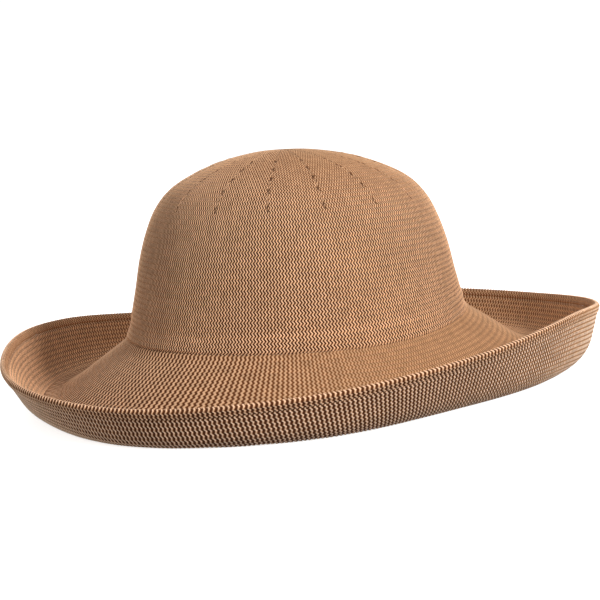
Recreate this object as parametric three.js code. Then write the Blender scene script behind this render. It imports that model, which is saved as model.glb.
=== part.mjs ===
// A knitted sun hat with a round dome crown and a brim that slopes down, folds and turns up.
// Millimetres, +Z up. The origin is on the surface that the hat lies on, under its middle.
// Angles run round the hat from +X, counter-clockwise seen from above; -Y is the side of the viewer.

import * as THREE from "three";
import { ParametricGeometry } from "three/addons/geometries/ParametricGeometry.js";

// Crown
const CROWN_HALF_WIDTH = 95.5; // outside, along X, where the dome's wall would meet the brim's slope
const CROWN_HALF_LENGTH = 93.5; // the same along Y
const CROWN_HEIGHT = 100.5; // from that corner to the tip
const CROWN_LEAN = 1.5; // degrees that the crown leans towards +X
const TIP_SHIFT = 4; // how far towards -X the tip of the knitting lies off the dome's axis
const FOOT_HEIGHT = 27.5; // of the corner between crown and brim
const FOOT_FILLET = 8.5; // length of the soft bend on each side of that corner
const BAND_SWELL = 0.7; // how far the hidden band inside pushes the foot of the crown out
const BAND_HEIGHT = 12;
const DART_COUNT = 16; // rows of decreases that close the dome
const DART_START = 13; // degrees from +X to one of them
const DART_DEPTH = 0.5;

// Brim
const FOLD_RADIUS = 154; // to the corner between the slope and the turned-up wall
const FOLD_BEND = 26.5; // length of the valley's bend on the slope's side
const FOLD_WALL_SHARE = 0.53; // share of the turned-up wall that the valley's bend takes
const RIM_RADIUS = 169;
const RIM_HEIGHT = 26.5;
const REST_SINK = 0.8; // how far the lowest ring would sink if the surface didn't press it flat

// Cloth
const KNIT_THICKNESS = 2;
const HEM_THICKNESS = 3.2; // the rim is folded double
const HEM_DEPTH = 5;
const CLEARANCE = 0.3; // between neighbouring pieces

const SEGMENTS = DART_COUNT * 6; // steps round the hat, so that each dart lies on one
const COLUMN_WIDTH = (2 * Math.PI) / SEGMENTS;
const LEAN = THREE.MathUtils.degToRad(CROWN_LEAN);
const AXIS = new THREE.Vector3(Math.sin(LEAN), 0, Math.cos(LEAN));

// The dome's outline from the tip down, as shares of CROWN_HEIGHT and of the half width.
const DOME_ROWS = [
  { height: 1.0, radius: 0.0 },
  { height: 0.995, radius: 0.155 },
  { height: 0.96, radius: 0.355 },
  { height: 0.9, radius: 0.54 },
  { height: 0.82, radius: 0.695 },
  { height: 0.72, radius: 0.793 },
  { height: 0.6, radius: 0.856 },
  { height: 0.45, radius: 0.907 },
  { height: 0.28, radius: 0.945 },
  { height: 0.12, radius: 0.982 },
  { height: 0.0, radius: 1.0 },
];

// The brim every 30 degrees from +X, as shares of FOLD_RADIUS, RIM_RADIUS and RIM_HEIGHT.
const BRIM_ROWS = [
  { fold: 1.032, rim: 0.996, height: 1.09 },
  { fold: 1.029, rim: 1.018, height: 0.84 },
  { fold: 1.032, rim: 1.027, height: 0.8 },
  { fold: 1.03, rim: 1.024, height: 0.78 },
  { fold: 1.02, rim: 1.014, height: 0.79 },
  { fold: 1.004, rim: 0.999, height: 1.14 },
  { fold: 0.983, rim: 0.964, height: 1.24 },
  { fold: 0.976, rim: 1.002, height: 0.96 },
  { fold: 1.053, rim: 1.011, height: 0.8 },
  { fold: 1.001, rim: 1.005, height: 0.93 },
  { fold: 0.889, rim: 0.958, height: 1.16 },
  { fold: 0.957, rim: 0.959, height: 1.37 },
];

// A smooth closed curve through one column of the brim's table.
function ringCurve(column) {
  const count = BRIM_ROWS.length;
  return (angle) => {
    const turns = angle / (2 * Math.PI);
    const place = (turns - Math.floor(turns)) * count;
    const first = Math.floor(place) % count;
    const t = place - Math.floor(place);
    const [a, b, c, d] = [-1, 0, 1, 2].map((k) => BRIM_ROWS[(first + k + count) % count][column]);
    const inSlope = (c - a) / 2;
    const outSlope = (d - b) / 2;
    return (
      (2 * b - 2 * c + inSlope + outSlope) * t ** 3 +
      (3 * c - 3 * b - 2 * inSlope - outSlope) * t ** 2 +
      inSlope * t +
      b
    );
  };
}

const foldShare = ringCurve("fold");
const rimShare = ringCurve("rim");
const heightShare = ringCurve("height");

const domeCurve = new THREE.SplineCurve(
  DOME_ROWS.map((row) => new THREE.Vector2(row.radius, row.height)),
);

// The share of the way down the dome at which it has come down to a height above the corner.
function domeShareAt(height) {
  let low = 0;
  let high = 1;
  for (let step = 0; step < 30; step += 1) {
    const middle = (low + high) / 2;
    if (domeCurve.getPoint(middle).y * CROWN_HEIGHT > height) low = middle;
    else high = middle;
  }
  return low;
}

const FILLET_SHARE = domeShareAt(FOOT_FILLET);

// A point of the bare dome, share 0 at the tip and 1 at the corner with the brim.
function domePoint(share, angle) {
  const row = domeCurve.getPoint(share);
  const shift = TIP_SHIFT * (1 - share) ** 4;
  return new THREE.Vector3(
    CROWN_HALF_WIDTH * row.x * Math.cos(angle) - shift,
    CROWN_HALF_LENGTH * row.x * Math.sin(angle),
    CROWN_HEIGHT * row.y,
  )
    .applyAxisAngle(new THREE.Vector3(0, 1, 0), LEAN)
    .add(new THREE.Vector3(0, 0, FOOT_HEIGHT));
}

// The corners and bend ends of the brim's section at an angle. The fold's corner lies so deep
// that the lowest point of the valley just reaches the surface.
function brimSection(angle) {
  const outward = new THREE.Vector3(Math.cos(angle), Math.sin(angle), 0);
  const foot = domePoint(1, angle);
  const filletTop = domePoint(FILLET_SHARE, angle);
  const rim = outward.clone().multiplyScalar(RIM_RADIUS * rimShare(angle));
  rim.z = RIM_HEIGHT * heightShare(angle);
  const fold = outward.clone().multiplyScalar(FOLD_RADIUS * foldShare(angle));
  for (let step = 0; step < 8; step += 1) {
    const inner = ((foot.z - fold.z) * FOLD_BEND) / foot.distanceTo(fold);
    const outer = (rim.z - fold.z) * FOLD_WALL_SHARE;
    fold.z = KNIT_THICKNESS - REST_SINK - (inner * outer) / (inner + outer);
  }
  const slopeLength = foot.distanceTo(fold);
  return {
    filletTop,
    foot,
    slopeTop: foot.clone().lerp(fold, FOOT_FILLET / slopeLength),
    slopeEnd: fold.clone().lerp(foot, FOLD_BEND / slopeLength),
    fold,
    wallStart: fold.clone().lerp(rim, FOLD_WALL_SHARE),
    rim,
  };
}

function bend(start, corner, end, share) {
  const first = start.clone().lerp(corner, share);
  return first.lerp(corner.clone().lerp(end, share), share);
}

// The hat's outer face in one run: -1 tip, 0 top of the foot's bend, 1 top of the slope,
// 2 end of the slope, 3 start of the turned-up wall, 4 rim.
function facePoint(along, angle) {
  if (along < 0) return domePoint((1 + along) * FILLET_SHARE, angle);
  const section = brimSection(angle);
  if (along < 1) return bend(section.filletTop, section.foot, section.slopeTop, along);
  if (along < 2) return section.slopeTop.lerp(section.slopeEnd, along - 1);
  if (along < 3) return bend(section.slopeEnd, section.fold, section.wallStart, along - 2);
  return section.wallStart.lerp(section.rim, along - 3);
}

function faceNormal(along, angle) {
  if (along <= -1) return AXIS.clone();
  const step = 0.01;
  const down = facePoint(along + step, angle).sub(facePoint(Math.max(along - step, -1), angle));
  const round = facePoint(along, angle + step).sub(facePoint(along, angle - step));
  return round.cross(down).negate().normalize();
}

// Where along the run a point lies that is some way below the rim.
function belowRim(distance, angle) {
  const section = brimSection(angle);
  return 4 - distance / section.wallStart.distanceTo(section.rim);
}

// The dart's crease is full from a little off the tip to the dome's shoulder.
function dartCrease(along, angle) {
  const share = 1 + along;
  if (share > 0.55) return 0;
  const pitch = (2 * Math.PI) / DART_COUNT;
  const start = THREE.MathUtils.degToRad(DART_START);
  const turns = (angle - start) / pitch;
  const offLine = Math.abs(turns - Math.round(turns)) * pitch;
  const across = Math.max(0, 1 - offLine / COLUMN_WIDTH);
  const inward = THREE.MathUtils.smoothstep(share, 0.02, 0.12);
  const outward = 1 - THREE.MathUtils.smoothstep(share, 0.42, 0.55);
  return DART_DEPTH * across * inward * outward;
}

function bandSwell(along, angle) {
  const height = facePoint(along, angle).z - FOOT_HEIGHT;
  const offMiddle = Math.abs(height / BAND_HEIGHT - 0.5) * 2;
  if (along > 0.5 || offMiddle > 1) return 0;
  return BAND_SWELL * Math.cos((offMiddle * Math.PI) / 2) ** 2;
}

// A point at a depth under the outer face. The surface that the hat lies on presses it flat.
function clothPoint(along, angle, depth) {
  const rise = bandSwell(along, angle) - dartCrease(along, angle);
  const point = facePoint(along, angle).addScaledVector(faceNormal(along, angle), rise - depth);
  point.z = Math.max(point.z, KNIT_THICKNESS - depth);
  return point;
}

// A closed wall round the hat. Each row gives its place, along the run or below the rim, and
// its depth, and the surface runs from row to row and round the hat.
function clothWall(rows) {
  const place = (row, angle) => row.along ?? belowRim(row.below, angle);
  const surface = (u, v, target) => {
    const angle = THREE.MathUtils.degToRad(DART_START) + v * 2 * Math.PI;
    const position = u * (rows.length - 1);
    const first = Math.min(Math.floor(position), rows.length - 2);
    const share = position - first;
    const a = clothPoint(place(rows[first], angle), angle, rows[first].depth);
    const b = clothPoint(place(rows[first + 1], angle), angle, rows[first + 1].depth);
    target.copy(a.lerp(b, share));
  };
  return new ParametricGeometry(surface, rows.length - 1, SEGMENTS);
}

// Both faces of a sheet, out along the outer one and back along the inner one.
function bothFaces(places) {
  const outer = places.map((item) => ({ ...item, depth: 0 }));
  const inner = places.map((item) => ({ ...item, depth: KNIT_THICKNESS })).reverse();
  return [...outer, ...inner];
}

const SEAM = 0.5; // the seam lies at the middle of the foot's bend
const SEAM_HALF_GAP = CLEARANCE / FOOT_FILLET / 2;

function crownGeometry() {
  const dome = [0, 0.06, 0.14, 0.23, 0.33, 0.43, 0.53, 0.63, 0.74, 0.86, 0.95].map((share) => ({
    along: share - 1,
  }));
  return clothWall(bothFaces([...dome, { along: 0.1 }, { along: 0.3 }, { along: SEAM - SEAM_HALF_GAP }]));
}

function brimGeometry() {
  const stations = [SEAM + SEAM_HALF_GAP, 0.75, 1, 1.5, 2, 2.12, 2.25, 2.38, 2.51, 2.68, 2.85];
  const rows = bothFaces([
    ...stations.map((along) => ({ along })),
    { below: HEM_DEPTH + CLEARANCE },
  ]);
  return clothWall([...rows, rows[0]]);
}

function hemGeometry() {
  const top = (KNIT_THICKNESS - HEM_THICKNESS) / 2;
  const bottom = top + HEM_THICKNESS;
  const round = HEM_THICKNESS * 0.3;
  const rows = [
    { below: HEM_DEPTH, depth: top },
    { below: round, depth: top },
    { below: 0, depth: top + round },
    { below: 0, depth: bottom - round },
    { below: round, depth: bottom },
    { below: HEM_DEPTH, depth: bottom },
  ];
  return clothWall([...rows, rows[0]]);
}

const PIECES = [
  { name: "crown", geometry: crownGeometry(), color: 0xb98a62 },
  { name: "brim", geometry: brimGeometry(), color: 0xb28259 },
  { name: "brim_hem", geometry: hemGeometry(), color: 0xa87a54 },
];

const hat = new THREE.Group();
for (const piece of PIECES) {
  const material = new THREE.MeshStandardMaterial({
    color: piece.color,
    roughness: 0.85,
    metalness: 0,
  });
  const mesh = new THREE.Mesh(piece.geometry, material);
  mesh.name = piece.name;
  hat.add(mesh);
}

// The waves of the brim put its middle a little off the crown's, so the hat is centred as a whole.
const middle = new THREE.Box3().setFromObject(hat).getCenter(new THREE.Vector3());
for (const mesh of hat.children) mesh.geometry.translate(-middle.x, -middle.y, 0);

export default hat;
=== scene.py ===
import math

import bpy
import numpy as np
from bpy.props import FloatProperty, FloatVectorProperty, IntProperty, PointerProperty
from mathutils import Matrix, Vector


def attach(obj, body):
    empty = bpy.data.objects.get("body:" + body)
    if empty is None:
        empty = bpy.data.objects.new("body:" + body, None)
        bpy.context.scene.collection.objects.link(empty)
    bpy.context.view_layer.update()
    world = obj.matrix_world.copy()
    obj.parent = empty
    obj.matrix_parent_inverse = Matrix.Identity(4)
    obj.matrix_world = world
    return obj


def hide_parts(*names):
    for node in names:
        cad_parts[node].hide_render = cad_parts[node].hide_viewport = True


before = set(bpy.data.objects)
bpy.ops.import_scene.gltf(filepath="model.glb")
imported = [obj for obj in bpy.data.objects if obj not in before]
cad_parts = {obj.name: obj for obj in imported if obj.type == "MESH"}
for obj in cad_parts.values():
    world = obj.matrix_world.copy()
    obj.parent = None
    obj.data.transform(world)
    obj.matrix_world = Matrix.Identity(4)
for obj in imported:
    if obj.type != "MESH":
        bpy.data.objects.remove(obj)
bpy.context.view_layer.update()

bl_info = {
    "name": "Knitted sun hat",
    "version": (1, 0, 0),
    "blender": (4, 5, 0),
    "location": "3D View > Sidebar > Hat",
    "description": "Knits a sun hat with a domed crown and a turned-up brim over its solids",
    "category": "Add Mesh",
}

MM = 0.001

# The solids are centred as a whole, which moves the crown's axis by this much, in millimetres.
CENTRING = np.array([-2.826, -1.456, 0.0])

# Crown, in millimetres
HALF_WIDTH = 95.5
HALF_LENGTH = 93.5
HEIGHT = 100.5
LEAN = math.radians(1.5)
TIP_SHIFT = 4.0
FOOT_HEIGHT = 27.5
FOOT_FILLET = 8.5
BAND_SWELL = 0.7
BAND_HEIGHT = 12.0
BAND_EDGE = 11.0  # height of the band's upper edge, along which a painted highlight lies at the front and a painted shade line at the sides and back
BAND_EDGE_WIDTH = 1.3

# Rows of decreases on the crown. The lower part of each is a line of dashes and knots.
DARTS = 16
DART_START = math.radians(13)
DART_END = 0.55  # share of the way from the tip to the bend at the foot
DART_MARGIN = 0.012  # the dashes end by this share above the end
DASHED_ROWS = 36
DASH_PITCH = 8  # rows from one dash to the next
DASH_ROWS = 3
DASH_REACH = 0.3  # to each side of the dart, in stitches
DASH_DEPTH = 0.45
KNOT_HEIGHT = 0.2

# Brim, in millimetres
FOLD_RADIUS = 154.0
FOLD_BEND = 26.5
FOLD_WALL_SHARE = 0.53
RIM_RADIUS = 169.0
RIM_HEIGHT = 26.5
REST_SINK = 0.8
CLOTH = 2.0
HEM_CLOTH = 2.9
HEM_DEPTH = 5.0
BRIM_LENGTH = 85.0  # mean length of the cloth from the seam to the rim
TURN_SHARE = 0.62  # share of that length at which the slope's stitches end
JOIN_GAP = 0.05
EDGE_ROUND = 0.3  # depth of the row that rounds a strip's edge

# The corner between crown and brim is lifted at the seam, most on the right.
CORNER_REACH = 44.0
CORNER_RIGHT = 7.5
CORNER_FRONT = 1.5
CORNER_INWARDS = 0.15  # share of the lift by which it also moves inwards

# Directions round the hat, from +X, in which something is strongest
RIGHT_SIDE = math.radians(-15)
LEFT_SIDE = math.radians(195)
PULLED_SIDE = math.radians(-148)
CORNER_SIDE = math.radians(15)
CORNER_NEAR = math.radians(-70)

# Places along the run that face_point follows
TIP = -1.0
SEAM = 0.5
RIM = 4.0

# Knit. A row of beads has a valley at 0 and its beads' ends at the two other places.
BEAD_PLACES = np.array([0, 0.65, 1.35])
VALLEY_LIFT = 0.88
INNER_ROWS = 18
INNER_ROW_STEP = 6.0
HEM_RELIEF = 0.7  # share of the relief that the right side keeps on the hem
WALL_ROW_SHADE = 1.4  # strength of the painted light and shade on alternate rows inside the turned-up brim
DASH_TONE = 0.82  # how much of the gaps' painted shade the open dashes take
LOWEST = 0.02  # height at which the stitches are pressed flat
MERGE_DISTANCE = 2e-6  # in metres

# The camera that was fitted to the photo: lengths in metres, the focal length in pixels
CAMERA_DISTANCE = 0.801
CAMERA_TILT = math.radians(8.71)
CAMERA_ROLL = math.radians(4.7)
CAMERA_FOCAL = 1408.5
CAMERA_AIM = np.array([2.29, 0, 42.5]) * MM + CENTRING * MM
PICTURE_WIDTH = 600
SENSOR_WIDTH = 36
LAMP_TARGET = Vector((0, 0, 0.06))

# The dome's outline from the tip down: height and radius, as shares.
DOME_ROWS = np.array([
    (1.0, 0.0),
    (0.995, 0.155),
    (0.96, 0.355),
    (0.9, 0.54),
    (0.82, 0.695),
    (0.72, 0.793),
    (0.6, 0.856),
    (0.45, 0.907),
    (0.28, 0.945),
    (0.12, 0.982),
    (0.0, 1.0),
])

# The brim every 30 degrees from +X: radius of the fold, radius and height of the rim, as shares.
BRIM_ROWS = np.array([
    (1.032, 0.996, 1.09),
    (1.029, 1.018, 0.84),
    (1.032, 1.027, 0.8),
    (1.03, 1.024, 0.78),
    (1.02, 1.014, 0.79),
    (1.004, 0.999, 1.14),
    (0.983, 0.964, 1.24),
    (0.976, 1.002, 0.96),
    (1.053, 1.011, 0.8),
    (1.001, 1.005, 0.93),
    (0.889, 0.958, 1.16),
    (0.957, 0.959, 1.37),
])


# Shape of the cloth


def smooth_between(a, b, c, d, t):
    """A smooth curve from b to c, with a before it and d after it."""
    rise, fall = (c - a) / 2, (d - b) / 2
    square = 3 * c - 3 * b - 2 * rise - fall
    return (2 * b - 2 * c + rise + fall) * t**3 + square * t**2 + rise * t + b


def through_rows(rows, share):
    """A smooth curve through the rows, share 0 at the first and 1 at the last."""
    last = len(rows) - 1
    place = last * np.clip(share, 0, 1)
    first = np.minimum(np.floor(place).astype(int), last - 1)
    t = (place - first)[..., None]
    before, after = rows[np.maximum(first - 1, 0)], rows[np.minimum(first + 2, last)]
    return smooth_between(before, rows[first], rows[first + 1], after, t)


def round_ring(angle):
    """The brim's three shares at an angle, on a smooth closed curve."""
    count = len(BRIM_ROWS)
    place = np.mod(angle / (2 * math.pi), 1) * count
    first = np.floor(place).astype(int) % count
    t = (place - np.floor(place))[..., None]
    return smooth_between(*(BRIM_ROWS[(first + k) % count] for k in (-1, 0, 1, 2)), t)


def dome_point(share, angle):
    """A point on the dome's outer face: share 0 at the tip, 1 at the foot."""
    share, angle = np.broadcast_arrays(share, angle)
    row = through_rows(DOME_ROWS, share)
    x = HALF_WIDTH * row[..., 1] * np.cos(angle) - TIP_SHIFT * (1 - share) ** 4
    y = HALF_LENGTH * row[..., 1] * np.sin(angle)
    z = HEIGHT * row[..., 0]
    cos, sin = math.cos(LEAN), math.sin(LEAN)
    return np.stack([x * cos + z * sin, y, z * cos - x * sin + FOOT_HEIGHT], -1)


def fillet_share():
    """How far down the dome the bend at its foot starts."""
    low, high = 0.0, 1.0
    for _ in range(30):
        middle = (low + high) / 2
        if through_rows(DOME_ROWS, np.array(middle))[0] * HEIGHT > FOOT_FILLET:
            low = middle
        else:
            high = middle
    return low


FILLET_SHARE = fillet_share()


def towards(angle, side):
    """1 in the given direction round the hat, falling to 0 at a right angle to it."""
    return np.clip(np.cos(angle - side), 0, 1)


def blend_to(a, b, share):
    """The point at a share of the way from a to b."""
    return a + (b - a) * np.asarray(share)[..., None]


def length_of(vector):
    return np.sqrt((vector**2).sum(-1))


def brim_section(angle):
    """The corners and bend ends of the brim's section at an angle."""
    shares = round_ring(angle)
    out = np.stack([np.cos(angle), np.sin(angle), np.zeros_like(angle)], -1)
    foot = dome_point(1.0, angle)
    rim = out * (RIM_RADIUS * shares[..., 1])[..., None]
    rim[..., 2] = RIM_HEIGHT * shares[..., 2]
    fold = out * (FOLD_RADIUS * shares[..., 0])[..., None]
    for _ in range(8):
        inner = (foot[..., 2] - fold[..., 2]) * FOLD_BEND / length_of(foot - fold)
        outer = (rim[..., 2] - fold[..., 2]) * FOLD_WALL_SHARE
        fold[..., 2] = CLOTH - REST_SINK - inner * outer / (inner + outer)
    slope = length_of(foot - fold)
    return {
        "top": dome_point(FILLET_SHARE, angle),
        "foot": foot,
        "slope_top": blend_to(foot, fold, FOOT_FILLET / slope),
        "slope_end": blend_to(fold, foot, FOLD_BEND / slope),
        "fold": fold,
        "wall_start": blend_to(fold, rim, np.full_like(slope, FOLD_WALL_SHARE)),
        "rim": rim,
    }


def bend(start, corner, end, share):
    """A point on a corner rounded between start and end."""
    return blend_to(blend_to(start, corner, share), blend_to(corner, end, share), share)


def face_point(along, angle):
    """The outer face in one run: -1 tip, 0 top of the foot's bend, 1 and 2 ends of the slope,
    3 start of the turned-up wall, 4 rim."""
    along, angle = np.broadcast_arrays(np.asarray(along, float), np.asarray(angle, float))
    point = np.zeros(along.shape + (3,))
    on_dome = along < 0
    if on_dome.any():
        point[on_dome] = dome_point((1 + along[on_dome]) * FILLET_SHARE, angle[on_dome])
    rest = ~on_dome
    if rest.any():
        a, s = along[rest], brim_section(angle[rest])
        runs = [
            bend(s["top"], s["foot"], s["slope_top"], a),
            blend_to(s["slope_top"], s["slope_end"], a - 1),
            bend(s["slope_end"], s["fold"], s["wall_start"], a - 2),
            blend_to(s["wall_start"], s["rim"], a - 3),
        ]
        pick = np.clip(np.floor(a).astype(int), 0, 3)
        point[rest] = np.stack(runs)[pick, np.arange(len(a))]
    return point


def face_normal(along, angle):
    """The direction in which the outer face looks."""
    step = 0.01
    down = face_point(along + step, angle) - face_point(np.maximum(along - step, -0.999), angle)
    round_it = face_point(along, angle + step) - face_point(along, angle - step)
    normal = np.cross(down, round_it)
    size = length_of(normal)
    axis = np.array([math.sin(LEAN), 0, math.cos(LEAN)])
    return np.where((size > 1e-9)[..., None], normal / np.maximum(size, 1e-9)[..., None], axis)


def band_swell(along, angle):
    """How far a band inside the crown's foot pushes the knit out."""
    height = face_point(along, angle)[..., 2] - FOOT_HEIGHT
    off_middle = np.abs(height / BAND_HEIGHT - 0.5) * 2
    swell = BAND_SWELL * np.cos(np.minimum(off_middle, 1) * math.pi / 2) ** 2
    return np.where(along > SEAM, 0, swell)


def soft_corner(point, angle):
    """How far the cloth near the corner between crown and brim is lifted and moved inwards."""
    from_corner = point - dome_point(1.0, angle)
    near = np.cos(np.clip(length_of(from_corner) / CORNER_REACH, 0, 1) * math.pi / 2) ** 2
    size = CORNER_RIGHT * towards(angle, CORNER_SIDE) ** 2
    size = size + CORNER_FRONT * towards(angle, CORNER_NEAR)
    sideways = -CORNER_INWARDS * np.cos(angle), -CORNER_INWARDS * np.sin(angle)
    way = np.stack([*sideways, np.ones_like(angle)], -1)
    return way * (near * size)[..., None]


def cloth_point(along, angle, depth):
    """A point at a depth under the outer face, and the face's direction there. The surface that
    the hat lies on presses it flat."""
    along, angle = np.broadcast_arrays(np.asarray(along, float), np.asarray(angle, float))
    normal = face_normal(along, angle)
    point = face_point(along, angle) + normal * (band_swell(along, angle) - depth)[..., None]
    point = point + soft_corner(point, angle)
    point[..., 2] = np.maximum(point[..., 2], CLOTH - depth)
    return point, normal


def runs_along_brim(angles, distances):
    """For each angle, where along the run the cloth is at the given distances from the seam.
    distances is a function of the brim's own length there."""
    stations = np.linspace(SEAM, RIM, 281)
    line = face_point(stations[:, None], angles[None, :])
    steps = length_of(np.diff(line, axis=0))
    travelled = np.vstack([np.zeros(len(angles)), np.cumsum(steps, 0)])
    wanted = distances(travelled[-1])
    columns = range(len(angles))
    return np.stack([np.interp(wanted[:, k], travelled[:, k], stations) for k in columns], 1)


def turned_on(angle, angles, runs):
    """The places along the run at angles that differ from those that runs was taken at."""
    whole = 2 * math.pi
    return np.stack([np.interp(a, angles, run, period=whole) for a, run in zip(angle, runs)])


# Knitting


def crest(phase):
    """0 in the gap between two columns of stitches, 1 on the yarn between the gaps."""
    return np.abs(np.sin(math.pi * phase))


def knit_strip(name, place, u, v, tones):
    """One strip of knitting that closes round the hat, from a flat grid of stitches. place holds
    a point in millimetres for each row and column, u and v count stitches and rows, and tones
    holds a value for each point for the yarn's material."""
    rows, columns = place.shape[:2]
    bpy.ops.object.select_all(action="DESELECT")
    bpy.ops.mesh.primitive_grid_add(x_subdivisions=columns - 1, y_subdivisions=rows - 1, size=1)
    piece = bpy.context.object
    piece.name = name
    mesh = piece.data
    mesh.name = name
    points = len(mesh.vertices)
    if points != rows * columns:
        raise RuntimeError(f"{name}: the grid has {points} points, not {rows * columns}")
    mesh.vertices.foreach_set("co", ((place + CENTRING) * MM).astype(np.float32).ravel())
    corner = np.zeros(len(mesh.loops), np.int32)
    mesh.loops.foreach_get("vertex_index", corner)
    stitch = np.stack([np.broadcast_to(counted, (rows, columns)) for counted in (u, v)], -1)
    layer = mesh.uv_layers[0]
    layer.name = "Knit"
    layer.uv.foreach_set("vector", stitch.reshape(-1, 2)[corner].astype(np.float32).ravel())
    for tone, values in tones.items():
        values = np.broadcast_to(values, (rows, columns)).astype(np.float32)
        mesh.attributes.new(tone, "FLOAT", "POINT").data.foreach_set("value", values.ravel())
    bpy.ops.object.mode_set(mode="EDIT")
    bpy.ops.mesh.select_all(action="SELECT")
    bpy.ops.mesh.remove_doubles(threshold=MERGE_DISTANCE)
    bpy.ops.mesh.select_all(action="SELECT")
    bpy.ops.mesh.normals_make_consistent(inside=False)
    bpy.ops.object.mode_set(mode="OBJECT")
    bpy.ops.object.transform_apply(location=True, rotation=True, scale=True)
    bpy.ops.object.shade_smooth()
    return piece


def stitches_across(wales):
    """Column positions round the hat, in stitches: a gap and a crest for each stitch."""
    return np.arange(wales * 2 + 1) / 2


def stretched(turn, amount):
    """Angles round the hat, with the stitches wider by amount at the near left, where the
    slope is pulled, and a little narrower elsewhere."""
    steps = 720
    fine = np.linspace(0, 2 * math.pi, steps + 1)
    pull = ((1 + np.cos(fine + DART_START - PULLED_SIDE)) / 2) ** 6
    width = 1 + amount * (pull - pull[:-1].mean())
    way = np.append(0, np.cumsum((width[1:] + width[:-1]) / 2)) * 2 * math.pi / steps
    return np.interp(turn, fine, way * 2 * math.pi / way[-1])


def right_side(knit, size, row_height, zigzag):
    """Rows of the knit's right side over a length in millimetres. Every row swings the columns
    the other way. Gives each row's share of the length, number, swing, lift and relief, and
    which side of the knit it is."""
    count = max(4, round(size / (row_height / MM)))
    row = np.arange(count + 1.0)
    swing = np.where(row % 2 == 0, 1.0, -1.0) * zigzag
    return {"share": row / count, "row": row, "swing": swing, "lift": np.ones(count + 1),
            "relief": np.full(count + 1, knit.relief / MM), "reverse": np.zeros(count + 1)}


def wrong_side(knit, size):
    """Rows of the knit's wrong side: slanting beads with a valley between their rows."""
    beads = max(2, round(size / (knit.bead_height / MM)))
    row = np.append((2 * np.arange(beads)[:, None] + BEAD_PLACES).ravel(), 2 * beads)
    swing = np.append(np.tile([0, -knit.slant, knit.slant], beads), 0)
    lift = np.append(np.tile([VALLEY_LIFT, 1.0, 1.0], beads), VALLEY_LIFT)
    return {"share": row / row[-1], "row": row + 1, "swing": swing, "lift": lift,
            "relief": np.full(len(row), knit.bead_relief / MM), "reverse": np.ones(len(row))}


def painted_row_shade(angle):
    """How strong the painted light and shade on alternate rows is on the crown and the slope, most
    on the hat's right.
    """
    return 0.2 + 0.8 * towards(angle, RIGHT_SIDE) ** 2


def crown_rows(knit):
    """The crown's rows from the tip to the seam and back up inside: where each lies along the
    run, its depth, how much its stitches stand out, its number and its swing."""
    # Lengths are measured down the crown on its near side.
    stations = np.linspace(TIP, SEAM, 700)
    line = face_point(stations, np.full_like(stations, math.radians(-60)))
    travelled = np.append(0, np.cumsum(length_of(np.diff(line, axis=0))))
    length = travelled[-1] - JOIN_GAP
    outer = right_side(knit, length, knit.row_height, knit.zigzag)
    count = len(outer["row"])
    inner = np.zeros(INNER_ROWS)
    inner_row = count + 1 + np.arange(INNER_ROWS) * INNER_ROW_STEP
    edge = np.array([EDGE_ROUND, CLOTH - EDGE_ROUND])
    back_up = np.linspace(length, 0, INNER_ROWS)
    at = np.concatenate([outer["share"] * length, [length, length], back_up])
    return {
        "along": np.interp(at, travelled, stations),
        "depth": np.concatenate([np.zeros(count), edge, inner + CLOTH]),
        "lift": np.concatenate([np.ones(count), 0 * edge, inner]),
        "row": np.concatenate([outer["row"], [count, count + 1], inner_row]),
        "swing": np.concatenate([outer["swing"], 0 * edge, inner]),
    }


def held_at_darts(wales, u, down, swing):
    """The columns' angles in each row, with the columns held back at the darts, which come
    together at the tip. Also how far each column is from its dart, in stitches, and which rows
    are at the tip."""
    radius = through_rows(DOME_ROWS, np.clip(down * FILLET_SHARE, 0, 1))[:, 1]
    dart_radius = through_rows(DOME_ROWS, np.array(DART_END * FILLET_SHARE))[1]
    narrowing = np.where(down < DART_END, radius / dart_radius, 1.0)
    per_dart = wales / DARTS
    gore = np.minimum(np.floor(u / per_dart), DARTS - 1)
    middle = (gore + 0.5) * per_dart
    half = (per_dart / 2) * narrowing[:, None]
    shifted = (u - middle)[None, :] + swing[:, None]
    held = np.where((down < DART_END)[:, None], np.clip(shifted, -half, half), shifted)
    spread = held / narrowing.clip(1e-6)[:, None]
    angle = DART_START + (middle[None, :] + spread) * 2 * math.pi / wales
    at_tip = narrowing < 1e-5
    angle = np.where(at_tip[:, None], DART_START, angle)
    return angle, half - np.abs(held), at_tip


def dart_marks(off_dart, down):
    """Where the open dashes at the darts are, and where the knots between them are."""
    at_dart = off_dart < DASH_REACH
    above_end = np.argmax(down > DART_END - DART_MARGIN) - np.arange(len(down))
    in_dash = above_end % DASH_PITCH
    dashed = (above_end > 0) & (above_end <= DASHED_ROWS)
    open_row = dashed & (in_dash > 0) & (in_dash <= DASH_ROWS)
    return at_dart & open_row[:, None], at_dart & (dashed & ~open_row)[:, None]


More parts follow.
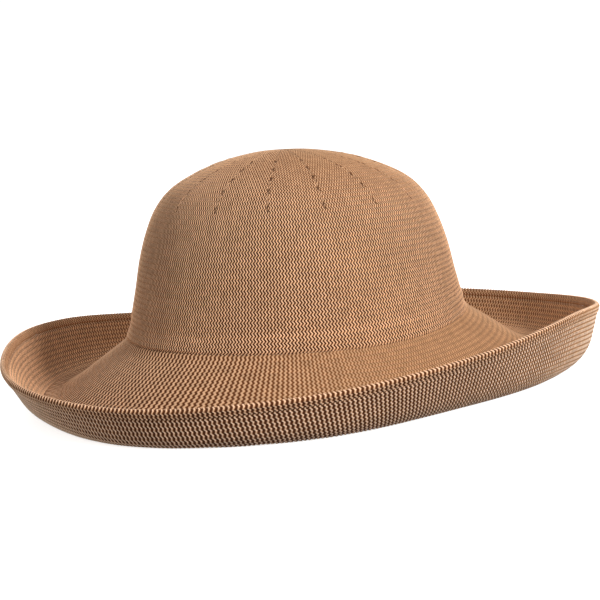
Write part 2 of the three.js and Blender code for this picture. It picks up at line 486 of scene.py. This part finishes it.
def crown_place(knit):
    """Points of the crown's knit, its counts of stitches and rows, and its tones."""
    u = stitches_across(knit.crown_stitches)
    rows = crown_rows(knit)
    down = 1 + rows["along"]
    angle, off_dart, at_tip = held_at_darts(knit.crown_stitches, u, down, rows["swing"])
    along, depth, lift = (rows[key][:, None] for key in ("along", "depth", "lift"))
    point, normal = cloth_point(along, angle, np.broadcast_to(depth, angle.shape))
    dash, knot = dart_marks(off_dart, down)
    relief = (crest(u)[None, :] - 0.5) * lift * knit.relief / MM
    relief = relief - dash * DASH_DEPTH + knot * KNOT_HEIGHT
    place = point + normal * relief[..., None]
    place[at_tip] = point[at_tip][:, :1]

    # The gaps' painted shade is clearer low down, on the left and a little at the front, and along
    # the band's upper edge a painted highlight shows at the front.
    low_down = 0.45 + 0.55 * np.clip((down - 0.25) / 0.35, 0, 1)[:, None]
    front = np.clip(-np.sin(angle), 0, 1) ** 3
    clear = low_down * (1 + 0.8 * towards(angle, LEFT_SIDE) + 0.1 * front)
    # Painted highlight along the band's upper edge at the front, turning to a painted shade line at
    # the sides and back.
    height = (place[..., 2] - FOOT_HEIGHT) * (lift > 0)
    line = np.exp(-(((height - BAND_EDGE) / BAND_EDGE_WIDTH) ** 2))
    band_edge_light_and_shade = line * np.clip((np.sin(-angle) - 0.55) / 0.25, -0.7, 1)
    tones = {"dash": dash, "reverse": depth == CLOTH, "open": clear, "band_edge_light_and_shade": band_edge_light_and_shade,
             "course": painted_row_shade(angle)}
    return place, u, rows["row"][:, None], tones


def brim_rows(knit, size):
    """Rows of a strip of the brim: down its upper face, round its far edge, back on the
    underside, and round its near edge to the first row."""
    upper = right_side(knit, size, knit.slope_row_height, knit.slope_zigzag)
    under = wrong_side(knit, size)
    under["share"] = 1 - under["share"]
    after = upper["row"][-1] + 2 + upper["row"][-1] % 2
    under["row"] = under["row"] + after

    def edge(share, *rows):
        two = np.ones(2)
        return {"share": share * two, "row": np.array(rows), "swing": 0 * two,
                "lift": 0.5 * two, "relief": 0 * two, "reverse": two}

    turned = edge(1.0, upper["row"][-1] + 0.5, after)
    back = edge(0.0, under["row"][-1] + 0.5, under["row"][-1] + 1.0)
    first = {key: value[:1] for key, value in upper.items()}
    first["row"] = np.array([under["row"][-1] + 1.5])
    parts = [upper, turned, under, back, first]
    row = {key: np.concatenate([part[key] for part in parts])[:, None] for key in upper}
    row["depth"] = np.concatenate([
        np.zeros(len(upper["row"])), [EDGE_ROUND, CLOTH - EDGE_ROUND],
        np.full(len(under["row"]), CLOTH), [CLOTH - EDGE_ROUND, EDGE_ROUND, 0]])[:, None]
    return row


def brim_strip(knit, wales, start, end, openness, stretch=0.0, lean=0.0):
    """One strip of the brim, out on the upper face and back on the underside. start and end give
    the distance from the seam as a function of the brim's length there. openness is how clear
    the gaps are, stretch how much wider the stitches are on the pulled side, and lean how many
    stitches the columns drift sideways in each millimetre."""
    u = stitches_across(wales)
    angles = DART_START + stretched(u * 2 * math.pi / wales, stretch)
    size = end(BRIM_LENGTH) - start(BRIM_LENGTH)
    row = brim_rows(knit, size)

    def distances(length):
        return start(length) + (end(length) - start(length)) * row["share"]

    along = runs_along_brim(angles, distances)
    drift = lean * size * (1 - row["share"])
    angle = angles[None, :] + (row["swing"] + drift) * 2 * math.pi / wales
    along = turned_on(angle, angles, along)
    point, normal = cloth_point(along, angle, np.broadcast_to(row["depth"], angle.shape))
    outwards = np.where(row["depth"] < CLOTH / 2, 1.0, -1.0)
    relief = (crest(u)[None, :] * row["lift"] - 0.5) * row["relief"]
    place = point + normal * (relief * outwards)[..., None]
    place[..., 2] = np.maximum(place[..., 2], LOWEST)
    # course carries the painted shade in the wrong side's valleys on the hat's right, and the
    # painted light and shade of alternate rows on the right side.
    valleys = towards(angle, RIGHT_SIDE) ** 2
    row_shade = WALL_ROW_SHADE if lean else painted_row_shade(angle)
    # The gaps' painted shade is clearer on the pulled side.
    tones = {"reverse": row["reverse"], "open": openness + 0.6 * towards(angle, PULLED_SIDE) ** 2,
             "course": np.where(row["reverse"] > 0.5, valleys, row_shade)}
    return place, u, row["row"], tones


# Materials


class YarnNodes:
    """Adds nodes to a material. Their inputs are other nodes' outputs, numbers or colours."""

    def __init__(self, material):
        material.use_nodes = True
        self.tree = material.node_tree
        self.tree.nodes.clear()
        self.place = self.add("ShaderNodeTexCoord").outputs["Object"]

    def add(self, kind, **settings):
        node = self.tree.nodes.new(kind)
        for key, value in settings.items():
            setattr(node, key, value)
        return node

    def feed(self, node, inputs):
        """Link or set a node's inputs, given by label or number."""
        for key, value in inputs.items():
            if hasattr(value, "is_output"):
                self.tree.links.new(value, node.inputs[key])
            else:
                node.inputs[key].default_value = value

    def maths(self, operation, *values):
        node = self.add("ShaderNodeMath", operation=operation)
        self.feed(node, dict(enumerate(values)))
        return node.outputs[0]

    def smooth(self, value, low, high):
        """0 below low, 1 above high and a smooth step between them."""
        node = self.add("ShaderNodeMapRange", interpolation_type="SMOOTHSTEP")
        self.feed(node, {"Value": value, "From Min": low, "From Max": high})
        return node.outputs["Result"]

    def mixed(self, share, first, second):
        change = self.maths("MULTIPLY", share, self.maths("SUBTRACT", second, first))
        return self.maths("ADD", first, change)

    def colour_mix(self, share, first, second, blend="MIX"):
        node = self.add("ShaderNodeMix", data_type="RGBA", blend_type=blend)
        self.feed(node, {"Factor": share, "A": first, "B": second})
        return node.outputs["Result"]

    def tone_of(self, attribute):
        return self.add("ShaderNodeAttribute", attribute_name=attribute).outputs["Fac"]

    def noise(self, scale, detail, coordinates=None):
        node = self.add("ShaderNodeTexNoise")
        coordinates = self.place if coordinates is None else coordinates
        self.feed(node, {"Scale": scale, "Detail": detail, "Vector": coordinates})
        return node.outputs["Fac"]


def zigzag_strand(nodes, column, turn, stroke, link, width):
    """The right side: 1 on the yarn and 0 in the gaps, which are clearest at the zigzag's turns
    and join up along one slant."""
    yarn = nodes.smooth(column, width, 0.98)
    at_turn = nodes.maths("MULTIPLY", turn, turn)
    between = nodes.maths("MULTIPLY_ADD", stroke, (link - 1) * 0.625, link)
    clear = nodes.maths("MULTIPLY", nodes.mixed(at_turn, between, 1.0), nodes.tone_of("open"))
    even = 0.55
    return nodes.maths("MULTIPLY_ADD", nodes.maths("SUBTRACT", yarn, even), clear, even)


def bead_strand(nodes, column, turn):
    """The wrong side: beads over the gaps' painted shade. Painted shade darkens the valleys between
    the rows of beads on the hat's right, and the gaps between the columns on its left."""
    course = nodes.tone_of("course")
    valley = nodes.maths("MULTIPLY_ADD", course, 0.25, 0.22)
    off_row = nodes.maths("SUBTRACT", 1.0, nodes.smooth(turn, -1.0, 0.5))
    along_row = nodes.maths("SUBTRACT", 1.0, nodes.maths("MULTIPLY", valley, off_row))
    deeper = nodes.maths("MULTIPLY_ADD", course, 0.1, -0.1)
    across = nodes.smooth(nodes.maths("ADD", column, deeper), 0.42, 0.96)
    return nodes.maths("MULTIPLY_ADD", nodes.maths("MULTIPLY", across, along_row), 0.94, 0.06)


def yarn_tone(nodes, u, v, stroke, reverse, fibre, shade):
    """Fibres, uneven dye and the tone of each row and stitch, with painted light and shade on
    alternate half-rows and along the band's upper edge.
    """
    blotch = nodes.noise(22, 2.0)
    stitch = nodes.add("ShaderNodeCombineXYZ")
    row = nodes.maths("FLOOR", nodes.maths("MULTIPLY_ADD", v, 0.5, 0.5))
    nodes.feed(stitch, {0: nodes.maths("FLOOR", u), 1: row})
    each = nodes.add("ShaderNodeTexWhiteNoise", noise_dimensions="2D")
    nodes.feed(each, {"Vector": stitch.outputs[0]})
    long = nodes.add("ShaderNodeVectorMath", operation="MULTIPLY")
    nodes.feed(long, {0: stitch.outputs[0], 1: (0.04, 1.3, 1.0)})
    course = nodes.noise(1.0, 1.0, long.outputs[0])
    tone = nodes.maths("MULTIPLY_ADD", fibre, 0.3 * shade, 0.85 * shade)
    # Alternate half-rows are painted lighter and darker, the painted light and shade of the
    # zigzag's two slants, on the right side of the knit only.
    row_shade_strength = band_edge_strength = 0.16
    fading = nodes.maths("SUBTRACT", row_shade_strength, nodes.maths("MULTIPLY", reverse, row_shade_strength))
    row_shade = nodes.maths("MULTIPLY", stroke, fading)
    row_shade = nodes.maths("MULTIPLY", row_shade, nodes.tone_of("course"))
    # The band's upper edge: painted highlight at the front, painted shade at the sides and back.
    band_edge_factor = nodes.maths("MULTIPLY_ADD", nodes.tone_of("band_edge_light_and_shade"), band_edge_strength, 1.0)
    tone = nodes.maths("MULTIPLY", tone, nodes.maths("ADD", row_shade, band_edge_factor))
    for source, reach in ((blotch, 0.2), (course, 0.12), (each.outputs["Value"], 0.22)):
        change = nodes.maths("MULTIPLY_ADD", source, reach, 1 - reach / 2)
        tone = nodes.maths("MULTIPLY", tone, change)
    return tone


def yarn_material(name, colours, link=0.6, shine_share=0.65, shade=1.0, width=0.42):
    """Knitted yarn. link is how clear the right side's gaps stay between two turns of the
    zigzag, width how wide they are, shine_share how much the wrong side's beads shine, and
    shade scales the whole, a painted light above 1 and a painted shade below 1, which makes
    one piece's yarn lighter or darker than another's."""
    material = bpy.data.materials.new(name)
    nodes = YarnNodes(material)
    split = nodes.add("ShaderNodeSeparateXYZ")
    nodes.feed(split, {0: nodes.add("ShaderNodeUVMap", uv_map="Knit").outputs["UV"]})
    u, v = split.outputs[0], split.outputs[1]
    column = nodes.maths("ABSOLUTE", nodes.maths("SINE", nodes.maths("MULTIPLY", u, math.pi)))
    turn = nodes.maths("COSINE", nodes.maths("MULTIPLY", v, math.pi))
    stroke = nodes.maths("SINE", nodes.maths("MULTIPLY", v, math.pi))
    reverse = nodes.tone_of("reverse")
    bead = bead_strand(nodes, column, turn)
    strand = nodes.mixed(reverse, zigzag_strand(nodes, column, turn, stroke, link, width), bead)

    # Colour by how high the yarn lies: painted shade in the gaps, a painted highlight on the crests
    # and a painted shine on the beads
    ramp = nodes.add("ShaderNodeValToRGB")
    elements = ramp.color_ramp.elements
    elements[0].color = (*colours.gap, 1)
    elements[1].color = (*colours.crest, 1)
    for position, colour in ((0.25, colours.deep), (0.5, colours.yarn)):
        elements.new(position).color = (*colour, 1)
    nodes.feed(ramp, {"Fac": strand})
    shine = nodes.maths("MULTIPLY", reverse, nodes.smooth(bead, 0.6, 1.0))
    shine = nodes.maths("MULTIPLY", shine, shine_share)
    base = nodes.colour_mix(shine, ramp.outputs["Color"], (*colours.shine, 1))

    fibre = nodes.noise(1400, 3.0)
    tone = yarn_tone(nodes, u, v, stroke, reverse, fibre, shade)
    grey = nodes.add("ShaderNodeCombineXYZ")
    nodes.feed(grey, {0: tone, 1: tone, 2: tone})
    tinted = nodes.colour_mix(1.0, base, grey.outputs[0], "MULTIPLY")
    # The open dashes at the darts take the gaps' painted shade.
    dark = nodes.maths("MULTIPLY", nodes.tone_of("dash"), DASH_TONE)

    rough = nodes.maths("MULTIPLY", strand, nodes.mixed(reverse, 0.14, 0.4))
    rough = nodes.maths("SUBTRACT", nodes.maths("SUBTRACT", 0.92, rough), 0.05)
    relief = nodes.add("ShaderNodeBump")
    height = nodes.maths("MULTIPLY_ADD", fibre, 0.35, strand)
    nodes.feed(relief, {"Strength": 0.6, "Distance": 0.0005, "Height": height})
    shader = nodes.add("ShaderNodeBsdfPrincipled")
    nodes.feed(shader, {
        "Base Color": nodes.colour_mix(dark, tinted, (*colours.gap, 1)),
        "Roughness": nodes.maths("MULTIPLY_ADD", fibre, 0.1, rough),
        "Normal": relief.outputs["Normal"],
        "Sheen Weight": 0.02,
        "Sheen Tint": (0.9, 0.62, 0.42, 1),
        "Sheen Roughness": 0.5,
        "Specular IOR Level": 0.14,
    })
    output = nodes.add("ShaderNodeOutputMaterial")
    nodes.feed(output, {"Surface": shader.outputs["BSDF"]})
    return material


def finish_piece(piece, material, node):
    """Give the piece its material, hide the solid that it stands for and attach it to the root
    body.
    """
    piece.data.materials.clear()
    piece.data.materials.append(material)
    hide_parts(node)
    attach(piece, "root")


# Settings


class HatKnit(bpy.types.PropertyGroup):
    """Counts and sizes of the stitches"""

    crown_stitches: IntProperty(
        name="Crown stitches", description="Columns of stitches round the crown",
        default=336, min=64)
    slope_stitches: IntProperty(
        name="Slope stitches", description="Columns of stitches round the brim's slope",
        default=352, min=64)
    rim_stitches: IntProperty(
        name="Rim stitches", description="Columns of stitches round the turned-up brim",
        default=464, min=64)
    row_height: FloatProperty(
        name="Row height", description="Height of half a zigzag", default=0.00141, unit="LENGTH",
        subtype="DISTANCE", precision=5)
    slope_row_height: FloatProperty(
        name="Slope row height", description="Height of half a zigzag on the brim", default=0.00126,
        unit="LENGTH", subtype="DISTANCE", precision=5)
    bead_height: FloatProperty(
        name="Bead height", description="Height of a row of beads on the wrong side",
        default=0.0022, unit="LENGTH", subtype="DISTANCE", precision=5)
    zigzag: FloatProperty(
        name="Zigzag", description="How far a column swings to each side, in stitches",
        default=0.32)
    slope_zigzag: FloatProperty(
        name="Slope zigzag",
        description="How far a column on the brim swings to each side, in stitches", default=0.24)
    drift: FloatProperty(
        name="Drift",
        description="How far the turned-up brim's columns lean, in stitches a millimetre",
        default=0.068, precision=3)
    slant: FloatProperty(
        name="Slant", description="How far a bead leans to each side, in stitches", default=0.17)
    relief: FloatProperty(
        name="Relief", description="How far the yarn stands out on the right side", default=0.0003,
        unit="LENGTH", subtype="DISTANCE", precision=5)
    bead_relief: FloatProperty(
        name="Bead relief", description="How far the beads stand out on the wrong side",
        default=0.0007, unit="LENGTH", subtype="DISTANCE", precision=5)


class HatColours(bpy.types.PropertyGroup):
    """Colours of the yarn, with its painted shade and highlights, and of the floor"""

    # crest is the yarn's colour with a painted highlight; deep and gap are painted shade where the
    # yarn dips and in the gaps between stitches; shine is a painted highlight on the beads.
    crest: FloatVectorProperty(
        name="Crest", description="Yarn where it stands out", subtype="COLOR", size=3,
        default=(0.88, 0.54, 0.335), min=0, max=1)
    yarn: FloatVectorProperty(
        name="Yarn", description="The yarn's middle tone", subtype="COLOR", size=3,
        default=(0.37, 0.182, 0.078), min=0, max=1)
    deep: FloatVectorProperty(
        name="Deep yarn", description="The yarn where it dips into a gap", subtype="COLOR", size=3,
        default=(0.17, 0.058, 0.021), min=0, max=1)
    gap: FloatVectorProperty(
        name="Gap", description="The gaps between stitches", subtype="COLOR", size=3,
        default=(0.055, 0.013, 0.004), min=0, max=1)
    shine: FloatVectorProperty(
        name="Shine", description="Yarn where a bead catches the light", subtype="COLOR", size=3,
        default=(0.9, 0.7, 0.56), min=0, max=1)
    floor: FloatVectorProperty(
        name="Floor", description="The floor and backdrop", subtype="COLOR", size=3,
        default=(0.9, 0.9, 0.9), min=0, max=1)


# Operators


class HAT_OT_crown(bpy.types.Operator):
    """Knit the crown from the tip down to the seam round its foot"""

    bl_idname = "hat.crown"
    bl_label = "Crown"

    def execute(self, context):
        knit, colours = context.scene.hat_knit, context.scene.hat_colours
        piece = knit_strip("crown_knit", *crown_place(knit))
        finish_piece(piece, yarn_material("Crown knit", colours, width=0.5), "crown")
        return {"FINISHED"}


class HAT_OT_brim(bpy.types.Operator):
    """Knit the brim: the slope down from the seam, and the part that turns up to the hem"""

    bl_idname = "hat.brim"
    bl_label = "Brim"

    def execute(self, context):
        knit, colours = context.scene.hat_knit, context.scene.hat_colours

        def seam(length):
            return JOIN_GAP + 0 * length

        def turn(length):
            return TURN_SHARE * length

        def hem(length):
            return length - (HEM_DEPTH + JOIN_GAP)

        slope = brim_strip(knit, knit.slope_stitches, seam, turn, openness=0.38, stretch=0.75)
        piece = knit_strip("brim_slope_knit", *slope)
        # The shade settings make lit and shaded copies of one yarn: painted shade on the slope,
        # painted light on the turned-up brim.
        yarn = yarn_material("Slope knit", colours, link=0.76, shade=0.88)
        finish_piece(piece, yarn, "brim")
        wall = brim_strip(knit, knit.rim_stitches, turn, hem, openness=0.6, lean=knit.drift)
        piece = knit_strip("brim_wall_knit", *wall)
        yarn = yarn_material("Brim wall knit", colours, shade=1.1)
        finish_piece(piece, yarn, "brim")
        return {"FINISHED"}


class HAT_OT_hem(bpy.types.Operator):
    """Fold the knit double round the rim"""

    bl_idname = "hat.hem"
    bl_label = "Hem"

    def execute(self, context):
        knit, colours = context.scene.hat_knit, context.scene.hat_colours
        wales = knit.rim_stitches
        u = stitches_across(wales)
        angles = DART_START + u * 2 * math.pi / wales
        top = (CLOTH - HEM_CLOTH) / 2
        bottom = top + HEM_CLOTH
        swing, slant = knit.zigzag, knit.slant
        # Distance below the rim, depth under the face, row, swing, lift and side of the knit.
        section = np.array([
            (5.0, 0.05, 0.0, 0.0, 0.5, 0), (4.2, top, 1.0, -swing, 1.0, 0),
            (3.2, top, 2.0, swing, 1.0, 0), (2.2, top, 3.0, -swing, 1.0, 0),
            (1.0, top + 0.15, 4.0, swing, 0.8, 0),
            (0.5, top + 0.4, 5.3, 0.0, 0.8, 1), (0.15, top + 0.85, 5.6, -slant, 0.9, 1),
            (0.0, 1.0, 6.0, 0.0, 0.9, 1), (0.15, bottom - 0.8, 6.4, slant, 0.9, 1),
            (0.75, bottom - 0.2, 6.8, 0.0, 0.8, 1), (1.3, bottom, 7.65, -slant, 1.0, 1),
            (2.0, bottom, 8.35, slant, 1.0, 1), (2.7, bottom, 9.0, 0.0, 0.72, 1),
            (3.4, bottom, 9.65, -slant, 1.0, 1), (4.1, bottom, 10.35, slant, 1.0, 1),
            (4.9, bottom - 0.1, 11.0, 0.0, 0.6, 1), (5.0, bottom - 0.5, 11.5, 0.0, 0.5, 1),
            (5.0, 1.0, 12.0, 0.0, 0.5, 0), (5.0, 0.05, 12.5, 0.0, 0.5, 0),
        ])
        below, depth, row, sway, lift, reverse = (section[:, k:k + 1] for k in range(6))
        along = runs_along_brim(angles, lambda size: size[None, :] - below)
        angle = angles[None, :] + (sway + knit.drift * below) * 2 * math.pi / wales
        along = turned_on(angle, angles, along)
        point, _ = cloth_point(along, angle, np.broadcast_to(depth, angle.shape))
        # The relief stands out from a line inside the fold.
        core_below, core_depth = np.maximum(below, 1.4), np.full(angle.shape, 1.0)
        core_along = runs_along_brim(angles, lambda size: size[None, :] - core_below)
        core, _ = cloth_point(turned_on(angle, angles, core_along), angle, core_depth)
        out = point - core
        out = out / np.maximum(length_of(out), 1e-6)[..., None]
        height = np.where(reverse > 0, knit.bead_relief, knit.relief * HEM_RELIEF) / MM
        place = point + out * ((crest(u)[None, :] * lift - 0.5) * height)[..., None]
        # course: painted shade in the wrong side's valleys, and painted light and shade on
        # alternate rows, on the hat's right.
        tones = {"reverse": reverse, "open": 0.6, "course": towards(angle, RIGHT_SIDE) ** 2}
        piece = knit_strip("brim_hem_knit", place, u, row, tones)
        # shade gives the hem's yarn a painted light.
        yarn = yarn_material("Hem knit", colours, shine_share=0.25, shade=1.06)
        finish_piece(piece, yarn, "brim_hem")
        return {"FINISHED"}


class HAT_OT_stage(bpy.types.Operator):
    """Add the floor, the lights and the camera"""

    bl_idname = "hat.stage"
    bl_label = "Stage"

    def execute(self, context):
        colours = context.scene.hat_colours
        bpy.ops.object.select_all(action="DESELECT")
        bpy.ops.mesh.primitive_plane_add(size=8, location=(0, 0, 0))
        floor = context.object
        floor.name = "floor"
        white = bpy.data.materials.new("Floor")
        white.use_nodes = True
        shader = white.node_tree.nodes["Principled BSDF"]
        shader.inputs["Base Color"].default_value = (*colours.floor, 1)
        shader.inputs["Roughness"].default_value = 0.9
        shader.inputs["Emission Color"].default_value = (1, 1, 1, 1)
        shader.inputs["Emission Strength"].default_value = 0.75
        floor.data.materials.append(white)
        floor.visible_diffuse = False

        world = bpy.data.worlds.new("Studio")
        context.scene.world = world
        world.use_nodes = True
        nodes, links = world.node_tree.nodes, world.node_tree.links
        background = nodes["Background"]
        background.inputs["Color"].default_value = (1, 1, 1, 1)
        way = nodes.new("ShaderNodeTexCoord")
        split = nodes.new("ShaderNodeSeparateXYZ")
        links.new(way.outputs["Generated"], split.inputs[0])
        sky = nodes.new("ShaderNodeMapRange")
        sky.inputs["From Min"].default_value = -0.3
        sky.inputs["From Max"].default_value = 0.9
        sky.inputs["To Min"].default_value = 0.2
        sky.inputs["To Max"].default_value = 0.64
        links.new(split.outputs[2], sky.inputs["Value"])
        seen = nodes.new("ShaderNodeLightPath")
        pick = nodes.new("ShaderNodeMix")
        links.new(seen.outputs["Is Camera Ray"], pick.inputs["Factor"])
        links.new(sky.outputs[0], pick.inputs["A"])
        pick.inputs["B"].default_value = 1.05
        links.new(pick.outputs[0], background.inputs["Strength"])

        def lamp(name, power, size, place, colour):
            data = bpy.data.lights.new(name, "AREA")
            data.energy = power
            data.color = colour
            data.shape = "DISK"
            data.size = size
            thing = bpy.data.objects.new(name, data)
            context.scene.collection.objects.link(thing)
            thing.location = place
            aim = LAMP_TARGET - Vector(place)
            thing.rotation_euler = aim.to_track_quat("-Z", "Y").to_euler()

        lamp("Key", 31.5, 0.45, (1.25, -1.3, 0.86), (1, 0.99, 0.96))
        lamp("Fill", 6, 1.4, (-0.9, -1.7, 0.8), (1, 0.9, 0.74))
        lamp("Back", 9, 1.6, (-0.5, 1.8, 1.0), (1, 0.97, 0.92))

        forward = np.array([0, math.cos(CAMERA_TILT), -math.sin(CAMERA_TILT)])
        up = np.array([0, math.sin(CAMERA_TILT), math.cos(CAMERA_TILT)])
        right = np.array([1.0, 0, 0])
        x_axis = right * math.cos(CAMERA_ROLL) - up * math.sin(CAMERA_ROLL)
        y_axis = right * math.sin(CAMERA_ROLL) + up * math.cos(CAMERA_ROLL)
        place = CAMERA_AIM - forward * CAMERA_DISTANCE
        data = bpy.data.cameras.new("Camera")
        data.sensor_width = SENSOR_WIDTH
        data.lens = CAMERA_FOCAL / PICTURE_WIDTH * SENSOR_WIDTH
        data.clip_start = 0.01
        camera = bpy.data.objects.new("Camera", data)
        context.scene.collection.objects.link(camera)
        axes = np.stack([x_axis, y_axis, -forward, place], 1).tolist()
        camera.matrix_world = Matrix([*axes, [0, 0, 0, 1]])
        context.scene.camera = camera
        context.scene.view_settings.view_transform = "Standard"
        return {"FINISHED"}


class HAT_PT_panel(bpy.types.Panel):
    """The knit's settings and colours, and a button for each operator"""

    bl_label = "Sun hat"
    bl_idname = "HAT_PT_panel"
    bl_space_type = "VIEW_3D"
    bl_region_type = "UI"
    bl_category = "Hat"

    def draw(self, context):
        layout = self.layout
        for group in (context.scene.hat_knit, context.scene.hat_colours):
            for name in group.bl_rna.properties.keys():
                if name not in ("rna_type", "name"):
                    layout.prop(group, name)
        for operator in ("hat.crown", "hat.brim", "hat.hem", "hat.stage"):
            layout.operator(operator)


CLASSES = (HatKnit, HatColours, HAT_OT_crown, HAT_OT_brim, HAT_OT_hem, HAT_OT_stage, HAT_PT_panel)


def register():
    for item in CLASSES:
        bpy.utils.register_class(item)
    bpy.types.Scene.hat_knit = PointerProperty(type=HatKnit)
    bpy.types.Scene.hat_colours = PointerProperty(type=HatColours)


def unregister():
    del bpy.types.Scene.hat_colours
    del bpy.types.Scene.hat_knit
    for item in reversed(CLASSES):
        bpy.utils.unregister_class(item)


def main():
    """Build the hat."""
    register()
    bpy.ops.hat.stage()
    bpy.ops.hat.crown()
    bpy.ops.hat.brim()
    bpy.ops.hat.hem()


if __name__ == "__main__":
    main()
